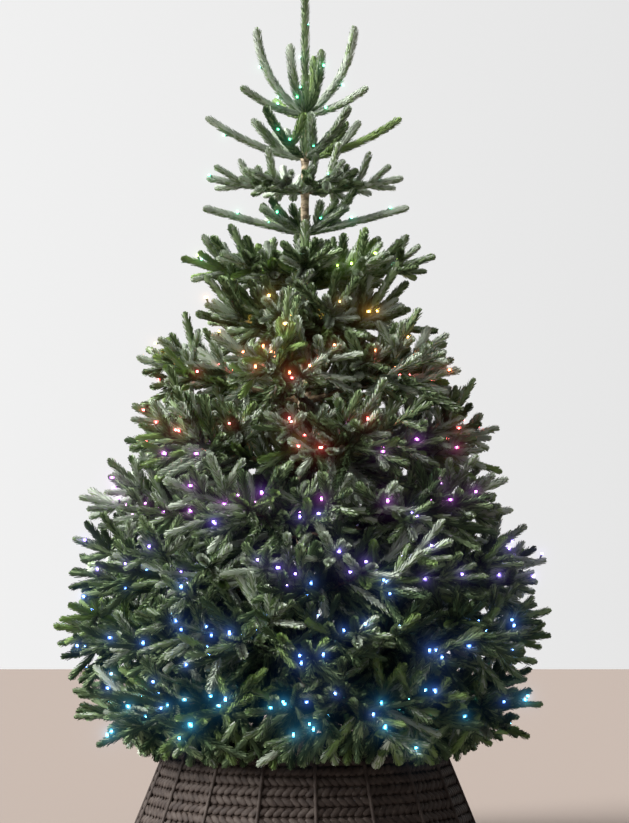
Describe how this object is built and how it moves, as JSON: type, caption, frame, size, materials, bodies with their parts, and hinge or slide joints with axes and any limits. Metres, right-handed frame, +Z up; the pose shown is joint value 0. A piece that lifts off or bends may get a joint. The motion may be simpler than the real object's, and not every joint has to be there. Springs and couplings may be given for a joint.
{
  "type": "christmas tree",
  "caption": "Slim cut fir with open whorls at the top and dense fans of needle sprays below, in a three-legged stand inside a low cone-shaped woven collar.",
  "frame": {"origin": "on the floor, at the middle of the flat underside of the stand's foot plate", "axes": "+Z up along the trunk; -Y towards the viewer of the front; +X to the tree's right as seen from the front"},
  "size_m": [1.2539, 1.221, 2.29],
  "materials": {
    "bark": "rough grey-tan bark",
    "limb_bark": "rough brown bark",
    "needles": "satin dark green needles",
    "young_needles": "satin grey-green needles",
    "rattan": "dark stained woven cane, satin",
    "steel": "dark satin paint"
  },
  "bodies": {
    "root": {"trunk": "bark", "leader": "young_needles", "stand": "steel", "woven_collar": "rattan", "whorl_01_top": "young_needles", "whorl_02": "young_needles", "whorl_03": "young_needles", "whorl_04": "young_needles", "whorl_05": "young_needles", "whorl_06": "young_needles", "whorl_07_fan_1": "needles", "whorl_07_fan_2": "needles", "whorl_07_fan_3": "needles", "whorl_07_fan_4": "needles", "whorl_07_fan_5": "needles", "whorl_08_bough_1": "limb_bark", "whorl_08_fan_1": "needles", "whorl_08_bough_2": "limb_bark", "whorl_08_fan_2": "needles", "whorl_08_bough_3": "limb_bark", "whorl_08_fan_3": "needles", "whorl_08_bough_4": "limb_bark", "whorl_08_fan_4": "needles", "whorl_08_bough_5": "limb_bark", "whorl_08_fan_5": "needles", "whorl_09_bough_1": "limb_bark", "whorl_09_fan_1": "needles", "whorl_09_bough_2": "limb_bark", "whorl_09_fan_2": "needles", "whorl_09_bough_3": "limb_bark", "whorl_09_fan_3": "needles", "whorl_09_bough_4": "limb_bark", "whorl_09_fan_4": "needles", "whorl_09_bough_5": "limb_bark", "whorl_09_fan_5": "needles", "whorl_10_bough_1": "limb_bark", "whorl_10_fan_1": "needles", "whorl_10_bough_2": "limb_bark", "whorl_10_fan_2": "needles", "whorl_10_bough_3": "limb_bark", "whorl_10_fan_3": "needles", "whorl_10_bough_4": "limb_bark", "whorl_10_fan_4": "needles", "whorl_10_bough_5": "limb_bark", "whorl_10_fan_5": "needles", "whorl_11_bough_1": "limb_bark", "whorl_11_fan_1": "needles", "whorl_11_bough_2": "limb_bark", "whorl_11_fan_2": "needles", "whorl_11_bough_3": "limb_bark", "whorl_11_fan_3": "needles", "whorl_11_bough_4": "limb_bark", "whorl_11_fan_4": "needles", "whorl_11_bough_5": "limb_bark", "whorl_11_fan_5": "needles", "whorl_12_fan_1": "needles", "whorl_12_fan_2": "needles", "whorl_12_fan_3": "needles", "whorl_12_fan_4": "needles", "whorl_12_fan_5": "needles"}
  },
  "joints": []
}
